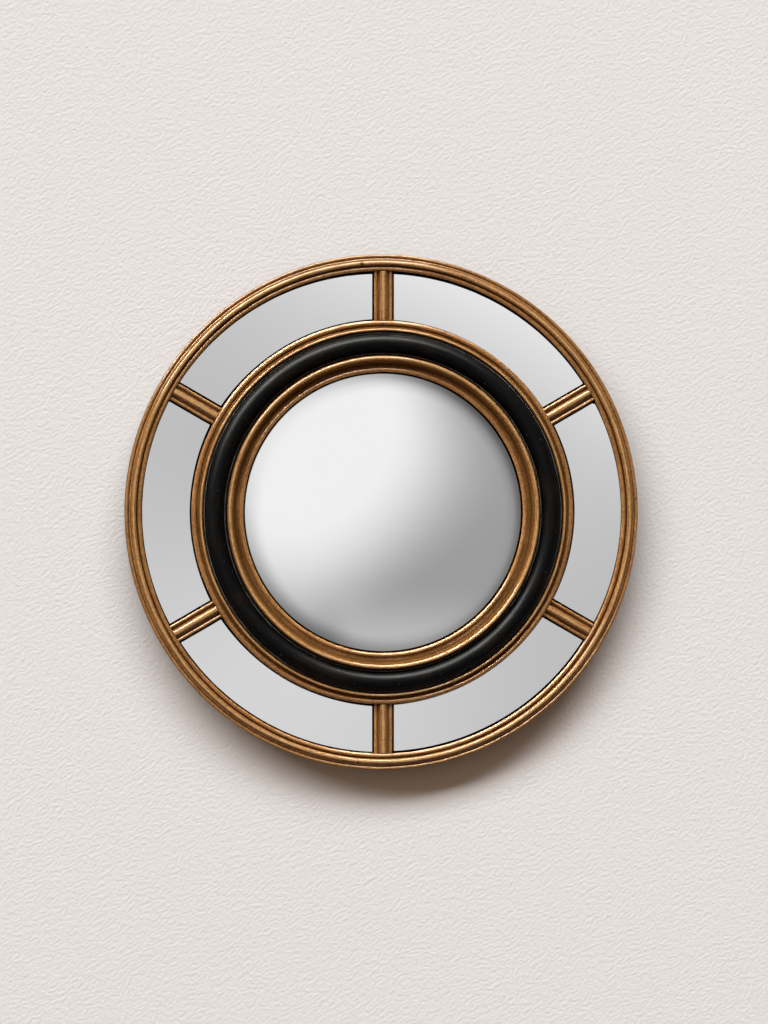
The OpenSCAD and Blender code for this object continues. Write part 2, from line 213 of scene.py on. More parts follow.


# antique gold paint with a dark wash in the grooves, laid by how open each place is, so that it also
# paints the grooves' shade; "grain" runs along the moulding, "sky" is how open a place is (0 in a deep
# groove, 1 on a crest)
def giltFinish(name, chips=(), relief=0.3, look=giltLook):
    material, tree = newMaterial(name)
    place = tree.objectPlace()
    grain = tree.attribute("grain", out=1)
    sky = tree.attribute("sky")
    streaks = tree.noise(grain, 1.0, 4.0, 0.62)
    broad = tree.noise(place, 42.0, 3.0, 0.55)
    fine = tree.noise(place, 900.0, 3.0, 0.6)
    knots = tree.noise(place, 560.0, 2.0, 0.5)
    # where the gold is thick, thin or rubbed, and where highlight and shade are painted
    body = (streaks * 0.3 + broad * 0.15 + knots * 0.3 + fine * 0.25).step(0.40, 0.58)
    # painted highlight: the open crests turn lighter gold, as well as being rubbed
    rubbedAndHighlit = (sky + (streaks - 0.5) * 0.35 + (fine - 0.5) * 0.2).step(*look["rubbedAndHighlitFrom"])
    # painted shade: the wash darkens each place by how closed in it is, as well as being the frame's real
    # wash
    washAndShade = (sky + (broad - 0.5) * 0.15 + (streaks - 0.5) * 0.2).fall(*look["washAndShadeTo"])
    colour = tree.mixColour(body, look["deep"], look["gold"])
    colour = tree.mixColour(rubbedAndHighlit * look["rubbedAndHighlit"], colour, look["bright"])
    colour = tree.mixColour(washAndShade * look["washAndShadeShare"], colour, look["washAndShade"])
    # painted shade: the most closed-in places take the dark ground coat colour, as do the sides below the
    # gilding
    colour = tree.mixColour(sky.fall(*look["groundCoatAndShadeTo"]), colour, look["groundCoatAndShade"])
    specks = tree.noise(place, 620.0, 2.0, 0.7)
    pits = specks.step(0.66, 0.71) * (1.0 - rubbedAndHighlit * 0.5)
    colour = tree.mixColour(pits * look["pitted"], colour, look["washAndShade"])
    metallic = (1.0 - washAndShade) * look["metallic"]
    rough = look["rough"] + washAndShade * 0.25 + (fine - 0.5) * 0.22 + pits * 0.2 - rubbedAndHighlit * 0.06
    coat = (1.0 - washAndShade) * (1.0 - pits * 0.7) * look["coat"]
    bare = chipMask(tree, place, fine, chips)
    if bare:
        colour = tree.mixColour(bare, colour, look["primer"])
        metallic = metallic * (1.0 - bare)
        rough = rough + bare * 0.3
        coat = coat * (1.0 - bare)
    height = streaks * 0.35 + fine * 0.5 + knots * 0.4 - pits * 0.4
    surface(tree, {"Base Color": colour, "Metallic": metallic, "Roughness": rough,
                   "Normal": bump(tree, height, relief, look["reliefDepth"]),
                   "Coat Weight": coat, "Coat Roughness": look["coatRough"], "Coat IOR": 1.5,
                   "Specular IOR Level": 0.0})
    return material


# 1 inside the small chips, with torn edges, and nothing at all without chips
def chipMask(tree, place, torn, chips):
    mask = None
    for clock, radius, size in chips:
        turn = math.radians(clock)
        x, y, z = tree.parts(place)
        dx = x - radius * mm * math.sin(turn)
        dz = z - radius * mm * math.cos(turn)
        away = (dx * dx + dz * dz).root() / (size * mm)
        one = (away + (torn - 0.5) * 1.1).fall(0.75, 0.95)
        mask = one if mask is None else mask + one - mask * one
    return mask


ebonyLook = {
    "black": (0.0022, 0.0021, 0.0021),
    "brown": (0.0095, 0.006, 0.0042),
    # light grey where rubbed through, which also stands in for the highlight on the arrises
    "bare": (0.27, 0.267, 0.26),
    "sheen": 0.052, "sheenTint": (0.78, 0.86, 1.0, 1.0), "rough": 0.37,
}


# black satin paint over wood, rubbed through along its arrises, which also paints a highlight line there
def ebonyFinish(name, look=ebonyLook):
    material, tree = newMaterial(name)
    place = tree.objectPlace()
    grain = tree.attribute("grain", out=1)
    edge = tree.attribute("edge")
    streaks = tree.noise(grain, 1.0, 4.0, 0.6)
    cloud = tree.noise(place, 26.0, 3.0, 0.6)
    fine = tree.noise(place, 700.0, 2.0, 0.6)
    colour = tree.mixColour((cloud * 0.6 + streaks * 0.4).step(0.48, 0.68), look["black"], look["brown"])
    # painted highlight: a light line along the arrises, as well as real wear
    wornAndHighlit = (edge + (streaks - 0.5) * 0.9 + (fine - 0.5) * 0.6).step(0.6, 1.05)
    specks = tree.noise(place, 480.0, 2.0, 0.75).step(0.70, 0.74) * 0.35
    bare = wornAndHighlit + specks - wornAndHighlit * specks
    colour = tree.mixColour(bare, colour, look["bare"])
    rough = look["rough"] + (streaks - 0.5) * 0.3 + (fine - 0.5) * 0.2 + bare * 0.2
    normal = bump(tree, streaks * 0.6 + fine * 0.3 - bare * 0.2, 0.4, 0.0001)
    surface(tree, {"Base Color": colour, "Roughness": rough, "Normal": normal, "IOR": 1.5,
                   "Specular IOR Level": look["sheen"], "Specular Tint": look["sheenTint"]})
    return material


silverLook = {
    "dome": (0.945, 0.947, 0.945),
    "plate": (0.87, 0.872, 0.872),
    "haze": (0.80, 0.81, 0.80),
    "speck": (0.30, 0.29, 0.27),
    # painted shade under the lip
    "lip": (0.012, 0.009, 0.007),
    # how strongly a reflection is painted onto the flat plates
    "paintedReflectionSwing": 0.115,
    # the dome's rim, where shade and reflection are painted: distances from its middle in metres, and the
    # angles of its two patterns
    "rim": {
        "near": (0.095, 0.102), "side": math.radians(80), "end": (0.1018, 0.1024),
        "between": (0.088, 0.103), "mean": 0.34, "swing": 0.24, "turn": math.radians(70),
    },
}


# silvered glass; on the flat plates a reflection is painted, lighter and darker around the ring, and on the
# dome a shade is painted along the rim
def silverFinish(name, tint, paintedReflectionSwing=0.0, rim=None, look=silverLook):
    material, tree = newMaterial(name)
    place = tree.objectPlace()
    haze = tree.noise(place, 9.0, 2.0, 0.5)
    colour = tree.mixColour((haze - 0.5) * 0.1 + 0.03, tint, look["haze"])
    x, y, z = tree.parts(place)
    square = x * x + z * z
    radius = square.root()
    if paintedReflectionSwing:
        # painted reflection: two darker and two lighter sides, and a lighter outer edge to the upper right
        lobes = ((z * z - x * x) * 0.64 + x * z * 1.53) / square
        slope = (x * 0.64 - z * 0.77) / radius
        outward = (x * 0.5 + z * 0.866) / radius
        tone = 0.88 + lobes * paintedReflectionSwing + slope * paintedReflectionSwing * 0.75 + outward * 0.03
        tone = tone + outward.step(0.4, 1.0) * ((radius - 0.159) * 4.5 + 0.04)
        colour = tree.mixColour(1.0, colour, tree.vector(tone, tone, tone), "MULTIPLY")
    if rim:
        # painted shade and reflection: the silver is darkened along the rim, most to the upper right and
        # the lower left
        turn = rim["turn"]
        lobes = (z * z - x * x) * math.cos(turn) + x * z * 2.0 * math.sin(turn)
        mean = rim["mean"] + lobes / (square + 1e-6) * rim["swing"]
        colour = tree.mixColour(radius.step(*rim["between"]) * mean, colour, (0.0, 0.0, 0.0))
        # painted shade: the last of it, under the lip, is dark
        away = (x * math.sin(rim["side"]) + z * math.cos(rim["side"])) / (radius + 1e-6)
        shade = radius.step(*rim["near"]) * away.step(-0.8, 1.2) * 0.46
        shade = shade + radius.step(*rim["end"]) * (1.0 - shade)
        colour = tree.mixColour(shade, colour, look["lip"])
    specks = tree.noise(place, 340.0, 2.0, 0.7).step(0.77, 0.80)
    colour = tree.mixColour(specks * 0.25, colour, look["speck"])
    surface(tree, {"Base Color": colour, "Metallic": 1.0, "Roughness": 0.012 + specks * 0.1})
    return material


glassEdgeLook = {"dark": (0.004, 0.006, 0.005), "light": (0.022, 0.03, 0.026)}


# ground edge of the glass
def glassEdgeFinish(name, look=glassEdgeLook):
    material, tree = newMaterial(name)
    fine = tree.noise(tree.objectPlace(), 1500.0, 2.0, 0.6)
    colour = tree.mixColour(fine, look["dark"], look["light"])
    surface(tree, {"Base Color": colour, "Roughness": 0.35 + fine * 0.2, "Specular IOR Level": 0.1})
    return material


boardLook = {"dark": (0.003, 0.0028, 0.0026), "light": (0.009, 0.0078, 0.0066)}


def paintedBoardFinish(name, look=boardLook):
    material, tree = newMaterial(name)
    place = tree.objectPlace()
    fine = tree.noise(place, 850.0, 3.0, 0.65)
    cloud = tree.noise(place, 30.0, 3.0, 0.6)
    colour = tree.mixColour(cloud.step(0.3, 0.75), look["dark"], look["light"])
    normal = bump(tree, fine, 0.5, 0.0002)
    surface(tree, {"Base Color": colour, "Roughness": 0.62 + (fine - 0.5) * 0.3, "Normal": normal,
                   "Specular IOR Level": 0.05})
    return material


fibreLook = {
    "dark": (0.175, 0.098, 0.05),
    "light": (0.37, 0.235, 0.13),
    "skin": (0.235, 0.14, 0.075),
    "fleck": (0.07, 0.04, 0.022),
}


# pressed fibreboard: short matted fibres, and a smoother skin
def fibreboardFinish(name, look=fibreLook):
    material, tree = newMaterial(name)
    place = tree.objectPlace()
    flecks = tree.noise(tree.scaled(place, (1.0, 1.0, 0.35)), 750.0, 4.0, 0.7, 1.2)
    crossed = tree.noise(tree.scaled(place, (0.35, 1.0, 1.0)), 620.0, 4.0, 0.7, 1.0)
    cloud = tree.noise(place, 14.0, 4.0, 0.6)
    mat = (flecks * 0.5 + crossed * 0.5).step(0.36, 0.66)
    colour = tree.mixColour(mat, look["dark"], look["light"])
    colour = tree.mixColour(cloud.step(0.35, 0.75) * 0.45, colour, look["skin"])
    dark = tree.noise(place, 1100.0, 2.0, 0.6).step(0.68, 0.74)
    colour = tree.mixColour(dark * 0.6, colour, look["fleck"])
    normal = bump(tree, mat * 0.6 + cloud * 0.4, 0.45, 0.00025)
    surface(tree, {"Base Color": colour, "Roughness": 0.66 + (mat - 0.5) * 0.2, "Normal": normal})
    return material


foamLook = {"dark": (0.03, 0.03, 0.03), "light": (0.075, 0.074, 0.072)}


def foamFinish(name, look=foamLook):
    material, tree = newMaterial(name)
    place = tree.objectPlace()
    cells = tree.node("ShaderNodeTexVoronoi", {"feature": "F1"}, {"Vector": place, "Scale": 2400.0})
    colour = tree.mixColour(cells, look["dark"], look["light"])
    surface(tree, {"Base Color": colour, "Roughness": 0.9, "Normal": bump(tree, cells, 0.6, 0.0002)})
    return material


zincLook = {"dark": (0.50, 0.50, 0.505), "light": (0.66, 0.655, 0.63), "bloom": (0.30, 0.285, 0.25)}


# zinc plate on steel: faint spangle, fine scratches and a yellowish bloom
def zincFinish(name, look=zincLook):
    material, tree = newMaterial(name)
    place = tree.objectPlace()
    cloud = tree.noise(place, 160.0, 3.0, 0.6)
    fine = tree.noise(place, 2600.0, 3.0, 0.7)
    scratch = tree.noise(tree.scaled(place, (1.0, 1.0, 0.06)), 5200.0, 2.0, 0.6)
    colour = tree.mixColour(cloud.step(0.35, 0.7), look["dark"], look["light"])
    colour = tree.mixColour(fine.step(0.62, 0.75) * 0.35, colour, look["bloom"])
    rough = 0.34 + (cloud - 0.5) * 0.2 + (scratch - 0.5) * 0.25
    normal = bump(tree, scratch * 0.6 + fine * 0.4, 0.25, 0.00004)
    surface(tree, {"Base Color": colour, "Metallic": 0.95, "Roughness": rough, "Normal": normal})
    return material


# small chips in the outer ring's gilding: clock in degrees, r and size in mm
outerChips = ((354.97, 183.65, 1.7), (185.9, 184.6, 0.9), (41.0, 181.4, 0.7))

finishes = {
    "gilt": giltFinish("giltPaint"),
    "giltBars": giltFinish("giltPaintBars", relief=0.75),
    "giltOuter": giltFinish("giltPaintOuterRing", outerChips),
    "ebony": ebonyFinish("ebonisedWood"),
    "dome": silverFinish("silveredDome", silverLook["dome"], rim=silverLook["rim"]),
    "plate": silverFinish("silveredPlate", silverLook["plate"], paintedReflectionSwing=silverLook["paintedReflectionSwing"]),
    "glassEdge": glassEdgeFinish("groundGlassEdge"),
    "blackBoard": paintedBoardFinish("blackPaintedBoard"),
    "fibreboard": fibreboardFinish("fibreboard"),
    "foam": foamFinish("closedCellFoam"),
    "zinc": zincFinish("zincPlatedSteel"),
}
print("finishes made:", len(finishes))


# points of an arc in the (r, h) plane, in mm; angles in degrees, 0 outward and 90 to the room
def arc(centre, radius, start, end, steps):
    found = []
    for i in range(steps + 1):
        turn = math.radians(start + (end - start) * i / steps)
        found.append((centre[0] + radius * math.cos(turn), centre[1] + radius * math.sin(turn)))
    return found


# a round bead from its inner to its outer side, running on a little under its equator
def bead(centre, diameter, top, steps=20, under=24.0):
    radius = diameter / 2
    return arc((centre, top - radius), radius, 180 + under, -under, steps)


# rounds each sharp corner of a closed outline with a small arc
def easeCorners(points, radius, sharpest=24.0):
    eased = []
    count = len(points)
    for i in range(count):
        here = np.array(points[i])
        back = np.array(points[i - 1]) - here
        ahead = np.array(points[(i + 1) % count]) - here
        lengthBack = np.linalg.norm(back)
        lengthAhead = np.linalg.norm(ahead)
        if min(lengthBack, lengthAhead) < 1e-6:
            continue
        back = back / lengthBack
        ahead = ahead / lengthAhead
        turn = math.pi - math.acos(max(-1.0, min(1.0, float(back @ ahead))))
        if math.degrees(turn) < sharpest:
            eased.append(tuple(here))
            continue
        cut = min(radius * math.tan(turn / 2), 0.42 * lengthBack, 0.42 * lengthAhead)
        for t in (0.0, 0.25, 0.5, 0.75, 1.0):
            point = here + back * cut * (1 - t) ** 2 + ahead * cut * t ** 2
            eased.append(tuple(point))
    return eased


# how much of the half plane in front of the wall each point of an outline sees, 0 to 1; what lies
# further off than the reach, in mm, hides nothing
def openness(points, reach=9.0, lift=0.03):
    outline = np.array(points)
    count = len(outline)
    seen = np.zeros(count)
    for i in range(count):
        tangent = outline[(i + 1) % count] - outline[i - 1]
        normal = np.array((tangent[1], -tangent[0]))
        normal = normal / max(np.linalg.norm(normal), 1e-9)
        start = outline[i] + normal * lift
        left = right = 0.0
        delta = outline - start
        near = np.linalg.norm(delta, axis=1) < reach
        for dx, dy in delta[near]:
            rise = math.degrees(math.atan2(dy, abs(dx)))
            if dx < -0.02:
                left = max(left, rise)
            elif dx > 0.02:
                right = max(right, rise)
        facing = max(0.0, normal[1])
        seen[i] = max(0.0, 180.0 - left - right) / 180.0 * (0.45 + 0.55 * facing)
    return seen


# Each ring's outline is a list of (r, h) in mm, closed, from its inner foot outward; "corner" is
# how round its corners are, "waver" how far its surface strays, and the spots list where wash is laid
# on and shade is painted, each (r, h, reach). All are in mm.
outerRing = {
    "corner": 0.16, "segments": 600, "waver": 0.055,
    "washAndShadeSpots": ((178.05, 17.0, 1.2), (181.3, 16.8, 0.5), (185.75, 18.9, 0.5), (187.34, 17.3, 0.5)),
    "outline": (
        [(178.05, 12.0), (186.25, 12.0), (186.25, 0.0), (189.85, 0.0), (189.85, 17.6)]
        + bead(188.68, 2.6, 18.9)[::-1] + [(187.34, 17.1)]
        + arc((186.2, 18.1), 0.88, -24.0, 112.0, 16)
        + arc((183.75, 18.85), 1.95, 4.0, 200.0, 28)
        + [(181.45, 16.9), (181.05, 16.9)]
        + bead(179.45, 3.1, 18.9)[::-1] + [(178.05, 16.6)]
    ),
}

reededRing = {
    "corner": 0.16, "segments": 640, "waver": 0.05, "washAndShadeSpots": ((141.2, 17.2, 0.7), (137.4, 17.8, 0.4)),
    "outline": (
        [(133.45, 12.0), (141.2, 12.0), (141.2, 17.2)]
        + bead(139.45, 3.7, 19.8)[::-1] + [(137.65, 17.9), (137.2, 17.9), (135.55, 19.9)]
        + bead(134.55, 2.18, 22.2)[::-1] + [(133.5, 20.0)]
    ),
}

blackRing = {
    "corner": 0.22, "segments": 640, "waver": 0.07, "washAndShadeSpots": (),
    # the arrises where the half round meets its flat feet, and how far the rubbing, which also paints a
    # highlight, reaches
    "arrises": ((132.1, 20.3), (117.2, 20.3)), "rubbedAndHighlit": 0.75,
    "outline": (
        [(115.5, 12.0), (133.25, 12.0), (133.25, 20.2), (132.1, 20.2)]
        + arc((124.65, 19.6), 7.4, 6.0, 174.0, 44) + [(117.2, 20.2), (115.5, 20.2)]
    ),
}

slipRing = {
    "corner": 0.16, "segments": 600, "waver": 0.05,
    "washAndShadeSpots": ((103.45, 19.6, 1.0), (107.8, 20.5, 2.4), (109.3, 21.3, 1.9), (111.6, 24.1, 0.8),
               (115.3, 24.5, 1.8)),
    "outline": (
        [(107.2, 19.0), (107.2, 12.0), (115.35, 12.0), (115.35, 23.8), (115.15, 24.0)]
        + bead(113.6, 3.2, 26.4)[::-1] + [(111.6, 24.05)]
        + [(109.35, 21.3), (108.9, 20.75), (108.4, 20.45), (106.9, 20.5)]
        + arc((105.15, 19.91), 1.7, 18.0, 204.0, 20) + [(103.75, 19.0)]
    ),
}


# below the first height, in mm, a piece has only its dark ground coat, above the second it is
# fully gilt
groundCoat = (14.0, 16.5)


# the outline as a closed mesh line, with what each point gives to the swept surface
def outlineMesh(name, points, pathRadius, washAndShadeSpots=()):
    made = bpy.data.meshes.new(name)
    count = len(points)
    vertices = [((r - pathRadius) * mm, h * mm, 0.0) for r, h in points]
    made.from_pydata(vertices, [(i, (i + 1) % count) for i in range(count)], [])
    run = [0.0]
    for a, b in zip(points, points[1:]):
        run.append(run[-1] + math.dist(a, b))
    addValues(made, "across", run)
    # how open each point is; the gilt paints shade and highlight by it
    sky = openness(points)
    # painted shade: the wash is laid on darker near each spot, where shadow falls
    for r, h, reach in washAndShadeSpots:
        sky = sky * np.clip([math.dist((r, h), point) / reach for point in points], 0.0, 1.0)
    low, high = groundCoat
    addValues(made, "sky", sky * np.clip([(h - low) / (high - low) for r, h in points], 0.0, 1.0))
    return made


def addValues(made, name, values):
    layer = made.attributes.new(name, "FLOAT", "POINT")
    layer.data.foreach_set("value", np.asarray(values, np.float32))


def newGeometryTree(name, sockets):
    group = bpy.data.node_groups.new(name, "GeometryNodeTree")
    group.interface.new_socket("Geometry", in_out="INPUT", socket_type="NodeSocketGeometry")
    for label, kind, value in sockets:
        socket = group.interface.new_socket(label, in_out="INPUT", socket_type=kind)
        if value is not None:
            socket.default_value = value
    group.interface.new_socket("Geometry", in_out="OUTPUT", socket_type="NodeSocketGeometry")
    tree = Tree(group)
    given = tree.node("NodeGroupInput")
    inputs = {s.name: Link(tree, s) for s in given.socket.node.outputs if s.name}
    return tree, inputs


def linked(name, made):
    piece = bpy.data.objects.new(name, made)
    bpy.context.scene.collection.objects.link(piece)
    return piece


# what a geometry tree makes of a mesh, as a plain mesh object with no modifier
def grown(name, start, nodeTree, values):
    source = linked(name + "Source", start)
    modifier = source.modifiers.new("making", "NODES")
    modifier.node_group = nodeTree
    for item in nodeTree.interface.items_tree:
        if item.item_type == "SOCKET" and item.in_out == "INPUT" and item.name in values:
            modifier[item.identifier] = values[item.name]
    bpy.context.view_layer.update()
    graph = bpy.context.evaluated_depsgraph_get()
    made = bpy.data.meshes.new_from_object(source.evaluated_get(graph), depsgraph=graph)
    made.name = name
    source.modifiers.clear()
    bpy.data.objects.remove(source)
    piece = linked(name, made)
    turnOutward(piece)
    return piece


# sweeps an outline round the mirror's middle and lets it waver a little, as turned by hand
def turnedTree():
    tree, given = newGeometryTree("turnedRing", [
        ("Path Radius", "NodeSocketFloat", 0.1), ("Segments", "NodeSocketInt", 360),
        ("Waver", "NodeSocketFloat", 0.0), ("Seed", "NodeSocketFloat", 0.0),
        ("Finish", "NodeSocketMaterial", None),
    ])
    circle = tree.node("GeometryNodeCurvePrimitiveCircle", {"mode": "RADIUS"},
                       {"Resolution": given["Segments"], "Radius": given["Path Radius"]})
    outline = tree.node("GeometryNodeMeshToCurve", None, {"Mesh": given["Geometry"]})
    swept = tree.node("GeometryNodeCurveToMesh", None, {"Curve": circle, "Profile Curve": outline})
    hung = tree.node("GeometryNodeTransform", None, {"Geometry": swept, "Rotation": (-math.pi / 2, 0, 0)})
    place = tree.node("GeometryNodeInputPosition")
    x, y, z = tree.parts(place)
    radius = (x * x + z * z).root()
    across = tree.stored("across")
    grain = tree.vector(x / radius * 7.0, z / radius * 7.0, across * 1.15 + given["Seed"])
    marked = tree.withGrain(hung, grain)
    slow = tree.vector(x / radius * 9.0, z / radius * 9.0, across * 0.3 + given["Seed"])
    swell = tree.noise(slow, 1.0, 3.0, 0.5) - 0.5
    # only the moulded front wavers
    front = (0.0 - y).step(0.0155, 0.0165)
    return tree.finished(tree.swollen(marked, swell * given["Waver"] * front), given["Finish"])


turned = turnedTree()


def turnedPiece(name, build, finish, seed):
    pathRadius = np.mean([r for r, h in build["outline"]])
    points = easeCorners(build["outline"], build["corner"])
    outline = outlineMesh(name + "Outline", points, pathRadius, build["washAndShadeSpots"])
    return grown(name, outline, turned, {
        "Path Radius": pathRadius * mm, "Segments": build["segments"],
        "Waver": build["waver"] * mm * 2, "Seed": seed, "Finish": finish,
    })


# a band of faces between two closed rows of points
def band(shell, low, high, slot=0):
    for i in range(len(low)):
        j = (i + 1) % len(low)
        face = shell.faces.new([low[i], low[j], high[j], high[i]])
        face.material_index = slot


# the closed shell as a mesh, with all its faces turned the same way
def shellMesh(shell, name):
    bmesh.ops.recalc_face_normals(shell, faces=shell.faces)
    made = bpy.data.meshes.new(name)
    shell.to_mesh(made)
    shell.free()
    return made


# faces out: a closed shell has a positive signed volume
def turnOutward(piece):
    made = piece.data
    shell = bmesh.new()
    shell.from_mesh(made)
    if shell.calc_volume(signed=True) < 0:
        bmesh.ops.reverse_faces(shell, faces=shell.faces)
    shell.to_mesh(made)
    shell.free()


def place(piece, slot, *nodes, body="frame"):
    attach(piece, body)
    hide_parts(*nodes)


rings = {
    "gildedOuterRing": (outerRing, finishes["giltOuter"], 3.1, "gilt_wood", "outer_ring"),
    "gildedReededRing": (reededRing, finishes["gilt"], 17.3, "gilt_wood", "reeded_ring"),
    "ebonisedRing": (blackRing, finishes["ebony"], 31.7, "ebonised_wood", "black_ring"),
    "gildedSlipRing": (slipRing, finishes["gilt"], 47.9, "gilt_wood", "slip_ring"),
}
for name, (build, finish, seed, slot, node) in rings.items():
    piece = turnedPiece(name, build, finish, seed)
    if "arrises" in build:
        # the rubbed arrises, which also carry a painted highlight line
        at = np.array([v.co for v in piece.data.vertices])
        radius = np.hypot(at[:, 0], at[:, 2]) / mm
        height = -at[:, 1] / mm
        near = [np.hypot(radius - r, height - h) for r, h in build["arrises"]]
        addValues(piece.data, "edge", np.clip(1.15 - np.min(near, axis=0) / build["rubbedAndHighlit"], 0, 1))
    place(piece, slot, node)
    print("turned:", name, len(piece.data.polygons), "faces")


# the ends come down by "endDrop" over their last "endRun"; all sizes are in mm, the outline is
# (across, height)
bars = {
    "count": 6, "rIn": 141.55, "rOut": 177.7, "steps": 40,
    "corner": 0.12, "endDrop": 0.22, "endRun": 1.3, "waver": 0.07,
    "outline": (
        [(-6.55, 12.0), (6.55, 12.0), (6.55, 16.0)]
        + bead(5.55, 2.28, 17.4, 14)[::-1] + [(4.5, 15.6), (2.75, 15.6)]
        + bead(0.0, 5.58, 19.0, 22)[::-1] + [(-2.75, 15.6), (-4.5, 15.6)]
        + bead(-5.55, 2.28, 17.4, 14)[::-1] + [(-6.55, 16.0)]
    ),
}


# sweeps the bar's outline outward, copes both ends to the rings and repeats it round the glass
def barTree():
    tree, given = newGeometryTree("copedBars", [
        ("Count", "NodeSocketInt", 6), ("Inner Radius", "NodeSocketFloat", 0.14),
        ("Outer Radius", "NodeSocketFloat", 0.17), ("Steps", "NodeSocketInt", 30),
        ("End Drop", "NodeSocketFloat", 0.0), ("End Run", "NodeSocketFloat", 0.001),
        ("Waver", "NodeSocketFloat", 0.0), ("Finish", "NodeSocketMaterial", None),
    ])
    line = tree.node("GeometryNodeCurvePrimitiveLine", None, {"Start": (0, 0, 0), "End": (0, 0, 1)})
    path = tree.node("GeometryNodeResampleCurve", None, {"Curve": line, "Count": given["Steps"]})
    outline = tree.node("GeometryNodeMeshToCurve", None, {"Mesh": given["Geometry"]})
    swept = tree.node("GeometryNodeCurveToMesh", None,
                      {"Curve": path, "Profile Curve": outline, "Fill Caps": True})
    # side is across the bar, height its height and t runs from 0 at the inner to 1 at the outer end
    position = tree.node("GeometryNodeInputPosition")
    side = tree.stored("side")
    height = tree.stored("height")
    t = tree.parts(position)[2]
    near = (given["Inner Radius"] * given["Inner Radius"] - side * side).root()
    far = (given["Outer Radius"] * given["Outer Radius"] - side * side).root()
    reach = near + (far - near) * t
    # near its ends the bar comes down, its crests most
    toEnd = tree.node("ShaderNodeMath", {"operation": "MINIMUM"}, {0: reach - near, 1: far - reach})
    ease = (toEnd / given["End Run"]).fall(0.0, 1.0)
    top = height - ease * given["End Drop"] * (height * 1000.0).step(15.8, 19.0)
    shaped = tree.node("GeometryNodeSetPosition", None,
                       {"Geometry": swept, "Position": tree.vector(side, 0.0 - top, reach)})
    # one bar at each turn
    spots = tree.node("GeometryNodeMeshLine", {"mode": "OFFSET"},
                      {"Count": given["Count"], "Offset": (0, 0, 0)})
    index = tree.node("GeometryNodeInputIndex")
    turn = tree.vector(0.0, index * (2 * math.pi) / given["Count"], 0.0)
    spread = tree.node("GeometryNodeInstanceOnPoints", None,
                       {"Points": spots, "Instance": shaped, "Rotation": turn})
    real = tree.node("GeometryNodeRealizeInstances", None, {"Geometry": spread})
    place = tree.node("GeometryNodeInputPosition")
    x, y, z = tree.parts(place)
    radius = (x * x + z * z).root()
    grain = tree.vector(x / radius * 2.0 + 5.0, radius * 45.0 + z / radius * 3.0,
                        tree.stored("across") * 1.15)
    swell = tree.noise(place, 90.0, 3.0, 0.5) - 0.5
    wavy = tree.swollen(tree.withGrain(real, grain), swell * given["Waver"])
    return tree.finished(wavy, given["Finish"])


barPoints = easeCorners(bars["outline"], bars["corner"])
barOutline = outlineMesh("barOutline", barPoints, 0.0)
addValues(barOutline, "side", [u * mm for u, h in barPoints])
addValues(barOutline, "height", [h * mm for u, h in barPoints])
gildedBars = grown("gildedBars", barOutline, barTree(), {
    "Count": bars["count"], "Inner Radius": bars["rIn"] * mm, "Outer Radius": bars["rOut"] * mm,
    "Steps": bars["steps"], "End Drop": bars["endDrop"] * mm, "End Run": bars["endRun"] * mm,
    "Waver": bars["waver"] * mm, "Finish": finishes["giltBars"],
})
place(gildedBars, "gilt_wood", *[f"bar_{i}" for i in range(1, bars["count"] + 1)])
print("bars:", len(gildedBars.data.polygons), "faces")


# radius of the rim, of the ball that the front is part of and how high the ball's middle lies, in mm
dome = {"rim": 106.5, "round": 330.0, "centre": -294.82, "thick": 2.5, "rings": 110, "segments": 288}


def domeMesh(build):
    count = build["segments"]
    shell = bmesh.new()

    def layer(ballRadius):
        rows = []
        pole = shell.verts.new((0, -(build["centre"] + ballRadius) * mm, 0))
        for k in range(1, build["rings"] + 1):
            r = build["rim"] * k / build["rings"]
            h = build["centre"] + math.sqrt(ballRadius ** 2 - r ** 2)
            row = []
            for i in range(count):
                turn = 2 * math.pi * i / count
                row.append(shell.verts.new((r * mm * math.sin(turn), -h * mm, r * mm * math.cos(turn))))
            rows.append(row)
        for i in range(count):
            shell.faces.new([pole, rows[0][i], rows[0][(i + 1) % count]])
        for inner, outer in zip(rows, rows[1:]):
            band(shell, inner, outer)
        return rows[-1]

    front = layer(build["round"])
    back = layer(build["round"] - build["thick"])
    band(shell, front, back, 1)
    for face in shell.faces:
        face.smooth = face.material_index == 0
    return shellMesh(shell, "convexGlass")


convexGlass = linked("convexGlass", domeMesh(dome))
convexGlass.data.materials.append(finishes["dome"])
convexGlass.data.materials.append(finishes["glassEdge"])
turnOutward(convexGlass)
place(convexGlass, "mirror_glass", "convex_glass")
print("convex glass:", len(convexGlass.data.polygons), "faces")


# "offset" is how far a plate's sides lie from the line through the middle of a bar, "seam" the
# width of its arris and "wobble" how unevenly it is cut; all in mm
plates = {
    "count": 6, "rIn": 142.45, "rOut": 176.8, "offset": 7.9, "back": 12.8, "front": 15.8,
    "seam": 0.16, "wobble": 0.1,
    # as cut by hand, in mm: how far the outer and the inner edge lie further out at the plate's
    # first end, middle and last end, clockwise, and what is off its corners (outer last, outer
    # first, inner first, inner last)
    "cuts": {
        1: {"outer": (-0.85, -0.45, 0.3), "inner": (-0.4, -0.85, -0.6), "nips": (0.25, 0.4, 0.2, 0.2)},
        2: {"outer": (0.6, 1.0, 0.5), "inner": (0.2, 0.2, -0.3), "nips": (0.3, 1.7, 0.2, 0.25)},
        3: {"outer": (0.0, -0.2, -0.3), "inner": (-0.5, -0.9, -0.2), "nips": (0.4, 0.2, 0.25, 0.2)},
        4: {"outer": (0.2, 0.2, 0.2), "inner": (0.6, -0.1, 0.5), "nips": (0.2, 0.5, 0.2, 0.25)},
        5: {"outer": (0.35, 0.65, 0.75), "inner": (0.3, -0.1, 0.4), "nips": (0.3, 0.2, 0.2, 0.2)},
        6: {"outer": (0.85, 0.1, -0.85), "inner": (0.4, -0.3, 0.0), "nips": (0.2, 0.3, 0.25, 0.2)},
    },
}


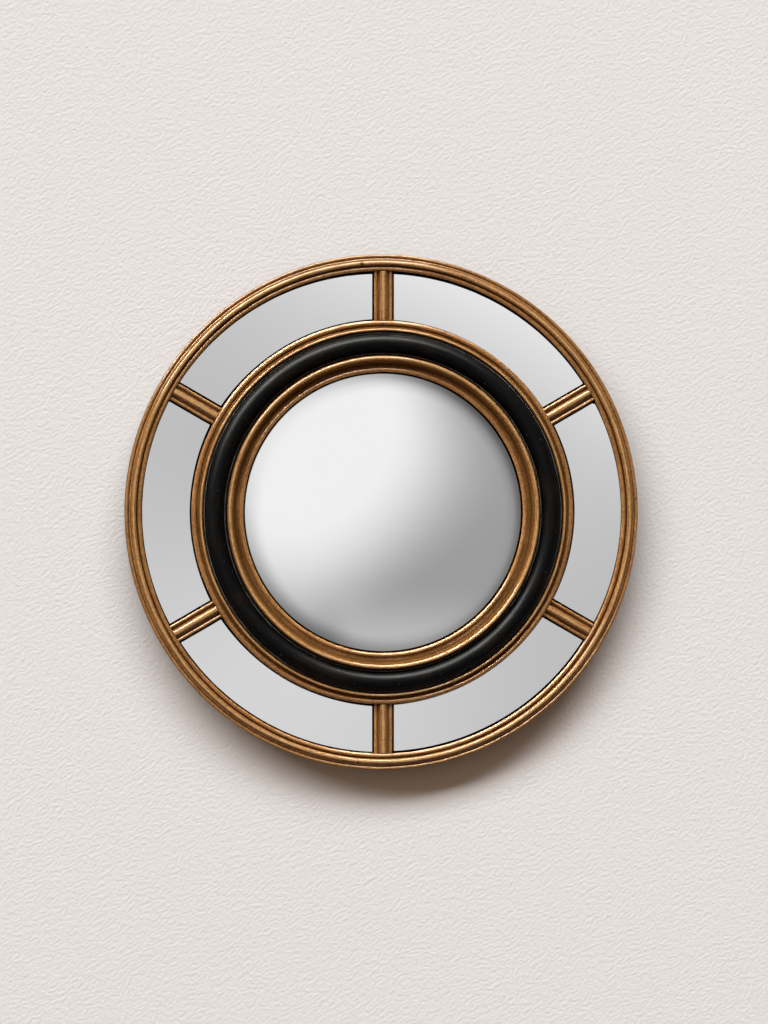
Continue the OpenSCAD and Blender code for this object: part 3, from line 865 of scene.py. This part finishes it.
# outline of a plate as cut by hand, with the bay's middle along +v
def plateOutline(number, build):
    chance = random.Random(100 + number)
    half = math.pi / build["count"]
    cut = build["cuts"][number]

    # a curve through the three given values; t runs from -1 to 1, clockwise
    def further(side, t):
        first, middle, last = cut[side]
        return middle + (last - first) / 2 * t + ((last + first) / 2 - middle) * t * t

    def edge(side, r, steps):
        reach = half - math.asin(build["offset"] / r)
        found = []
        for i in range(steps + 1):
            t = 1.0 - 2.0 * i / steps
            away = r + further(side, t)
            found.append(np.array((away * math.sin(reach * t), away * math.cos(reach * t))))
        return found

    def line(start, end, steps):
        return [start + (end - start) * i / steps for i in range(steps + 1)]

    outer = edge("outer", build["rOut"], 60)
    inner = edge("inner", build["rIn"], 46)[::-1]
    sides = [outer, line(outer[-1], inner[0], 14), inner, line(inner[-1], outer[0], 14)]
    points = []
    # each side stops short of its corners by their nips
    for k, side in enumerate(sides):
        for end, nip in ((0, cut["nips"][k]), (-1, cut["nips"][(k + 1) % 4])):
            corner = side[end].copy()
            side = [p for p in side if np.linalg.norm(p - corner) > nip]
            toward = side[0 if end == 0 else -1] - corner
            stop = corner + toward / np.linalg.norm(toward) * nip
            side = [stop] + side if end == 0 else side + [stop]
        points += side
    centre = np.mean(points, axis=0)
    shift = chance.uniform(0, 50)
    drawn = []
    for point in points:
        wave = noise.noise(Vector((point[0] * 0.22 + shift, point[1] * 0.22, number)))
        inward = (centre - point) / np.linalg.norm(centre - point)
        drawn.append(point + inward * build["wobble"] * (0.6 + wave))
    return drawn


def plateMesh(number, build):
    points = plateOutline(number, build)
    turn = (number - 0.5) * 2 * math.pi / build["count"]
    shell = bmesh.new()
    count = len(points)
    area = sum(a[0] * b[1] - b[0] * a[1] for a, b in zip(points, points[1:] + points[:1]))
    turned = 1.0 if area > 0 else -1.0

    def ring(inset, h):
        row = []
        for i, point in enumerate(points):
            # square to both edges that meet here
            normals = []
            for edge in (point - points[i - 1], points[(i + 1) % count] - point):
                normals.append(np.array((-edge[1], edge[0])) * turned / np.linalg.norm(edge))
            inward = (normals[0] + normals[1]) / (1 + normals[0] @ normals[1])
            u, v = point + inward * inset
            x = u * math.cos(turn) + v * math.sin(turn)
            z = -u * math.sin(turn) + v * math.cos(turn)
            row.append(shell.verts.new((x * mm, -h * mm, z * mm)))
        return row

    seam = build["seam"]
    rows = [ring(0, build["back"]), ring(0, build["front"] - seam), ring(seam, build["front"])]
    for low, high in zip(rows, rows[1:]):
        band(shell, low, high, 1)
    shell.faces.new(rows[-1])
    bottom = shell.faces.new(rows[0])
    bottom.material_index = 2
    return shellMesh(shell, f"flatPlate_{number}")


for number in range(1, plates["count"] + 1):
    plate = linked(f"flatPlate_{number}", plateMesh(number, plates))
    for finish in ("plate", "glassEdge", "blackBoard"):
        plate.data.materials.append(finishes[finish])
    turnOutward(plate)
    place(plate, "mirror_glass", f"plate_{number}")
print("flat plates:", plates["count"])


# the cross for the driver, in mm: half an arm's width and how wide its sloping walls and ends are
driverCross = {"arm": 0.44, "wall": 0.14, "end": 0.55}

# "recess" is how far the arms of the cross reach, "deep" how deep it is cut and "dome" the radius
# of a domed head; the outline is (r, h) from the rim of the head's face to the screw's tip, in mm
screws = {
    "coverScrews": {
        "node": "cover_screws", "recess": 1.55, "deep": 0.85, "head": 2.8,
        "outline": [(2.72, 0.3), (2.8, 0.36), (2.74, 0.46), (1.5, 1.9), (1.5, 14.15)],
        "places": {"Count": 8, "First": (0.0, 0.0, 0.0), "Pitch": (0.0, 0.0, 0.0)},
    },
    "hangerScrews": {
        "node": "hanger_screws", "recess": 1.5, "deep": 0.95, "dome": 4.5,
        "outline": [(2.62, 4.28), (2.76, 4.5), (2.8, 4.75), (2.8, 5.0), (1.5, 5.0), (1.5, 10.45)],
        "places": {"Count": 2, "Circle Radius": 0.0, "First": (0.0, 0.0, 142.25 * mm),
                   "Pitch": (0.0, 0.0, -13.0 * mm)},
    },
}


# one screw about the y axis, with a cross recess in its head, facing the wall
def screwMesh(name, build, segments=72, rings=26):
    shell = bmesh.new()
    first = build["outline"][0]

    def height(x, z):
        flat = first[1]
        if "dome" in build:
            ball = build["dome"]
            flat += math.sqrt(ball ** 2 - first[0] ** 2) - math.sqrt(max(0.0, ball ** 2 - x * x - z * z))
        cut = 0.0
        for along, beside in ((x, z), (z, x)):
            wall = min(1.0, max(0.0, (driverCross["arm"] - abs(beside)) / driverCross["wall"]))
            end = min(1.0, max(0.0, (build["recess"] - abs(along)) / driverCross["end"]))
            cut = max(cut, wall * end)
        return flat + cut * build["deep"]

    def ring(r, h=None):
        row = []
        for i in range(segments):
            turn = 2 * math.pi * i / segments
            x, z = r * math.sin(turn), r * math.cos(turn)
            row.append(shell.verts.new((x * mm, -(height(x, z) if h is None else h) * mm, z * mm)))
        return row

    rows = [ring(first[0] * k / rings) for k in range(1, rings + 1)]
    rows += [ring(r, h) for r, h in build["outline"][1:]]
    ends = (height(0, 0), build["outline"][-1][1])
    poles = [shell.verts.new((0, -h * mm, 0)) for h in ends]
    for i in range(segments):
        j = (i + 1) % segments
        shell.faces.new([poles[0], rows[0][i], rows[0][j]])
        shell.faces.new([poles[1], rows[-1][j], rows[-1][i]])
    for inner, outer in zip(rows, rows[1:]):
        band(shell, inner, outer)
    return shellMesh(shell, name)


# repeats a screw on a circle or in a line, each turned as its driver left it
def screwTree():
    tree, given = newGeometryTree("screwsInPlace", [
        ("Count", "NodeSocketInt", 2), ("Circle Radius", "NodeSocketFloat", 0.0),
        ("First", "NodeSocketVector", None), ("Pitch", "NodeSocketVector", None),
        ("Seed", "NodeSocketInt", 0), ("Finish", "NodeSocketMaterial", None),
    ])
    spots = tree.node("GeometryNodeMeshLine", {"mode": "OFFSET"},
                      {"Count": given["Count"], "Start Location": given["First"], "Offset": given["Pitch"]})
    index = tree.node("GeometryNodeInputIndex")
    turn = (index + 0.5) * (2 * math.pi) / given["Count"]
    around = tree.vector(turn.math("SINE", turn) * given["Circle Radius"], 0.0,
                         turn.math("COSINE", turn) * given["Circle Radius"])
    placed = tree.node("GeometryNodeSetPosition", None, {"Geometry": spots, "Offset": around})
    driven = tree.node("FunctionNodeRandomValue", {"data_type": "FLOAT"},
                       {2: 0.0, 3: 2 * math.pi, "Seed": given["Seed"]}, out=1)
    spread = tree.node("GeometryNodeInstanceOnPoints", None,
                       {"Points": placed, "Instance": given["Geometry"],
                        "Rotation": tree.vector(0.0, driven, 0.0)})
    return tree.finished(spread, given["Finish"], smooth=False)


screwsInPlace = screwTree()
# the circle of the cover's screws, from the CAD: the topmost two stand half a step off the middle
coverScrews = screws["coverScrews"]
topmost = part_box("cover_screws")[1][2] - coverScrews["head"] * mm
coverScrews["places"]["Circle Radius"] = topmost / math.cos(math.pi / coverScrews["places"]["Count"])
for name, build in screws.items():
    piece = grown(name, screwMesh(name + "One", build), screwsInPlace,
                  {**build["places"], "Seed": 7, "Finish": finishes["zinc"]})
    place(piece, "zinc_steel", build["node"])
print("screws:", ", ".join(screws))


# the hinge's place, then the wire's radius, half the straight leg in the hinge, its corners, how
# far the bow stands off them and how round the strap's punched edges are, in mm
hanger = {
    "up": 150.25, "out": 3.6, "wire": 1.25, "leg": 7.0, "corner": 3.0, "rise": 2.0,
    "strapEase": 0.14, "sides": 28,
}


# the wire's middle line, closed, in mm from the hinge
def wireLine(build):
    leg, corner, rise = build["leg"], build["corner"], build["rise"]
    bow = leg + corner
    half = [(leg * k / 6, 0.0) for k in range(6)] + arc((leg, corner), corner, -90.0, 0.0, 12)
    half += arc((0.0, corner + rise), bow, 0.0, 90.0, 40)
    return half + [(-x, z) for x, z in half[::-1][1:-1]]


# a round section swept along a closed line
def wireTree():
    tree, given = newGeometryTree("sweptWire", [
        ("Thickness", "NodeSocketFloat", 0.001), ("Sides", "NodeSocketInt", 24),
        ("Finish", "NodeSocketMaterial", None),
    ])
    line = tree.node("GeometryNodeMeshToCurve", None, {"Mesh": given["Geometry"]})
    section = tree.node("GeometryNodeCurvePrimitiveCircle", {"mode": "RADIUS"},
                        {"Resolution": given["Sides"], "Radius": given["Thickness"]})
    swept = tree.node("GeometryNodeCurveToMesh", None, {"Curve": line, "Profile Curve": section})
    return tree.finished(swept, given["Finish"])


wirePoints = wireLine(hanger)
wireMesh = bpy.data.meshes.new("wireLine")
wireMesh.from_pydata([(x * mm, -hanger["out"] * mm, (hanger["up"] + z) * mm) for x, z in wirePoints],
                     [(i, (i + 1) % len(wirePoints)) for i in range(len(wirePoints))], [])
hangerWire = grown("hangerWire", wireMesh, wireTree(), {
    "Thickness": hanger["wire"] * mm, "Sides": hanger["sides"], "Finish": finishes["zinc"],
})
place(hangerWire, "zinc_steel", "hanger_ring", body="ring")


# the strap as constructed, with its punched edges a little rounded
def strapMesh(build):
    shell = bmesh.new()
    shell.from_mesh(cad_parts["hanger_strap"].data)
    bmesh.ops.remove_doubles(shell, verts=shell.verts, dist=1e-6)
    bmesh.ops.dissolve_limit(shell, angle_limit=math.radians(1.0), verts=shell.verts, edges=shell.edges)
    sharp = [e for e in shell.edges if len(e.link_faces) == 2 and e.calc_face_angle() > math.radians(50)]
    bmesh.ops.bevel(shell, geom=sharp, offset=build["strapEase"] * mm, segments=2, profile=0.5,
                    affect="EDGES", clamp_overlap=True)
    bmesh.ops.triangulate(shell, faces=[f for f in shell.faces if len(f.verts) > 4])
    return shellMesh(shell, "hangerStrap")


hangerStrap = linked("hangerStrap", strapMesh(hanger))
hangerStrap.data.materials.clear()
hangerStrap.data.materials.append(finishes["zinc"])
turnOutward(hangerStrap)
place(hangerStrap, "zinc_steel", "hanger_strap")
print("hanger made")


# CAD nodes that are shown as they are, in these finishes
kept = {
    "ground_board": "blackBoard", "back_cover": "fibreboard", "spacer_ring": "fibreboard",
    "plate_tapes": "foam", "glass_gasket": "foam",
}
for node, finish in kept.items():
    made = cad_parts[node].data
    made.materials.clear()
    made.materials.append(finishes[finish])


# the hole in mm, the rest in metres; then the paint and its roller marks
wallLook = {
    "hole": 189.2, "middle": 0.5, "reach": 3.0, "depth": 0.0004, "sides": 256,
    "pale": (0.750, 0.750, 0.755), "deeper": 0.985,
    "roller": {"turn": math.radians(35), "stretch": (0.75, 1.0, 1.0), "scale": 450.0,
               "relief": (0.5, 0.0009)},
}


# the wall in front of which the mirror hangs; it is open behind the mirror and, seen from
# behind, lets the camera through
def makeWall(build):
    shell = bmesh.new()
    count = build["sides"]
    turns = [2 * math.pi * i / count for i in range(count)]
    rows = []
    for r in (build["hole"] * mm, build["middle"], build["reach"]):
        spots = [(r * math.sin(turn), build["depth"], r * math.cos(turn)) for turn in turns]
        rows.append([shell.verts.new(spot) for spot in spots])
    for low, high in zip(rows, rows[1:]):
        band(shell, low, high)
    made = shellMesh(shell, "wall")
    if made.polygons[0].normal.y > 0:
        made.flip_normals()
    wall = linked("wall", made)
    material, tree = newMaterial("paintedWall")
    place = tree.objectPlace()
    roller = build["roller"]
    turned = tree.node("ShaderNodeVectorRotate", {"rotation_type": "Y_AXIS"},
                       {"Vector": place, "Angle": roller["turn"]})
    marks = tree.noise(tree.scaled(turned, roller["stretch"]), roller["scale"], 2.0, 0.5)
    normal = bump(tree, marks, *roller["relief"])
    soft = tree.noise(place, 5.0, 2.0, 0.5)
    colour = tree.mixColour(soft, build["pale"], tuple(c * build["deeper"] for c in build["pale"]))
    paint = tree.node("ShaderNodeBsdfDiffuse", None, {"Color": colour, "Normal": normal})
    clear = tree.node("ShaderNodeBsdfTransparent")
    behind = tree.node("ShaderNodeNewGeometry", None, None, out=6)
    looking = tree.node("ShaderNodeLightPath", None, None, out=0)
    shader = tree.node("ShaderNodeMixShader", None, {0: behind * looking, 1: paint, 2: clear})
    tree.node("ShaderNodeOutputMaterial", None, {0: shader})
    made.materials.append(material)


makeWall(wallLook)

# how bright the room is on its bright and its grey side, on the floor, and beyond what the mirrors
# show from in front; "widest" is the angle in degrees past which it no longer changes
room = {
    "bright": 0.9216, "dim": 0.3538, "floor": 0.223, "beyond": 0.62, "widest": 55.0,
    "ambient": 0.24, "ambientTint": (1.25, 0.83, 0.56), "backdrop": (0.80, 0.785, 0.775),
    # where the bright side gives way to the grey one: powers of the angles across and up, in
    # units of 30 degrees
    "border": {(0, 0): 0.834, (1, 0): -0.626, (0, 1): 0.684, (2, 0): -0.262, (1, 1): -0.125,
               (0, 2): -0.2, (3, 0): 0.227, (2, 1): -0.187, (0, 3): -0.124},
}


# the room that the glass shows: bright to the upper left, greyer to the lower right
def makeRoom(build):
    world = bpy.data.worlds.new("room")
    bpy.context.scene.world = world
    world.use_nodes = True
    world.node_tree.nodes.clear()
    tree = Tree(world.node_tree)
    direction = tree.node("ShaderNodeTexCoord", None, None, out=0)
    x, y, z = tree.parts(direction)
    degrees = 180.0 / math.pi
    across = tree.node("ShaderNodeMath", {"operation": "ARCTAN2"}, {0: x, 1: 0.0 - y}) * degrees
    up = tree.node("ShaderNodeMath", {"operation": "ARCSINE"}, {0: z}) * degrees
    # past its widest angles the room goes on as it is there
    across = across.within(build["widest"])
    up = up.within(build["widest"])
    border = 0.0
    for (i, j), share in build["border"].items():
        term = share
        for factor in [across / 30.0] * i + [up / 30.0] * j:
            term = factor * term
        border = border + term
    field = build["dim"] + border.step(0.0, 1.0) * (build["bright"] - build["dim"])
    # the pale floor at the foot of the grey side
    floor = up.fall(-42.0, -18.0) * across.step(-13.0, -1.0) * across.fall(29.0, 45.0)
    field = field + floor * build["floor"]
    # and less light from beyond what the mirrors show from in front
    field = field * (build["beyond"] + (0.0 - y).step(0.35, 0.74) * (1.0 - build["beyond"]))
    slope = across * 0.643 - up * 0.766
    grey = tree.vector(field, field, field)
    path = tree.node("ShaderNodeLightPath").socket.node
    camera = Link(tree, path.outputs["Is Camera Ray"])
    # only where gloss is looked at itself, not where it throws light on the frame
    glossy = Link(tree, path.outputs["Is Glossy Ray"])
    glossy = glossy * Link(tree, path.outputs["Diffuse Depth"]).fall(0.2, 0.8)
    # the soft light on everything else comes from the same room, only weaker
    soft = (slope * 0.6).fall(-40.0, 34.0) * build["ambient"] + build["ambient"] * 0.3
    around = tree.vector(*[soft * share for share in build["ambientTint"]])
    colour = tree.mixColour(glossy, around, grey)
    colour = tree.mixColour(camera, colour, build["backdrop"])
    light = tree.node("ShaderNodeBackground", None, {"Color": colour, "Strength": 1.0})
    tree.node("ShaderNodeOutputWorld", None, {0: light})


makeRoom(room)

# "key" is a long strip of window light from above; "gleam" lies in the same place and only adds
# to what gloss shows of it; "rear" lights the back; metres and watts
lamps = {
    "key": {"from": (-14.0, 58.0), "away": 30.0, "wide": 54.0, "high": 9.5, "power": 21100.0,
            "colour": (0.985, 0.99, 0.985)},
    "gleam": {"from": (-20.0, 56.0), "away": 30.0, "wide": 40.0, "high": 10.8, "power": 100000.0,
              "colour": (1.0, 0.93, 0.73), "glossOnly": True},
    "rear": {"from": (-35.0, 50.0), "away": 6.0, "wide": 4.0, "high": 3.0, "power": 420.0,
             "colour": (1.0, 0.99, 0.98), "behind": True},
}


# "from" is (clock, angle off the wall's normal) in degrees
def makeLamp(name, build):
    clock, off = (math.radians(v) for v in build["from"])
    side = 1.0 if build.get("behind") else -1.0
    spot = Vector((math.sin(off) * math.sin(clock), side * math.cos(off), math.sin(off) * math.cos(clock)))
    lamp = bpy.data.lights.new(name, "AREA")
    lamp.shape = "RECTANGLE"
    lamp.size, lamp.size_y = build["wide"], build["high"]
    lamp.energy = build["power"]
    lamp.color = build["colour"]
    made = bpy.data.objects.new(name, lamp)
    made.location = spot * build["away"]
    # the long side lies along the wall
    along = Vector((math.cos(clock), 0.0, -math.sin(clock)))
    made.rotation_euler = Matrix((along, spot.cross(along), spot)).transposed().to_euler()
    made.visible_diffuse = not build.get("glossOnly")
    bpy.context.scene.collection.objects.link(made)


for name, build in lamps.items():
    makeLamp(name, build)

# angles in degrees; its distance, the width of wall it takes in and how far its aim is off the
# mirror's middle, all in metres
cameraSet = {"azimuth": -5.8, "elevation": 0.7, "away": 2.4, "wide": 0.5669,
             "aim": (0.00087, -0.014, 0.0003), "aspect": 1024 / 768, "sensor": 36.0}


# seen from a little left of and above the middle, with a long lens
def makeCamera(build):
    a, e = math.radians(build["azimuth"]), math.radians(build["elevation"])
    back = Vector((math.sin(a) * math.cos(e), -math.cos(a) * math.cos(e), math.sin(e)))
    data = bpy.data.cameras.new("camera")
    # the sensor's width goes with the picture's longer side, which is its height
    data.sensor_width = build["sensor"]
    data.lens = build["sensor"] * build["away"] / (build["wide"] * build["aspect"])
    data.clip_start, data.clip_end = 0.05, 20.0
    camera = bpy.data.objects.new("camera", data)
    camera.location = Vector(build["aim"]) + back * build["away"]
    camera.rotation_euler = (-back).to_track_quat("-Z", "Y").to_euler()
    bpy.context.scene.collection.objects.link(camera)
    bpy.context.scene.camera = camera


makeCamera(cameraSet)
bpy.context.scene.view_settings.view_transform = "Standard"
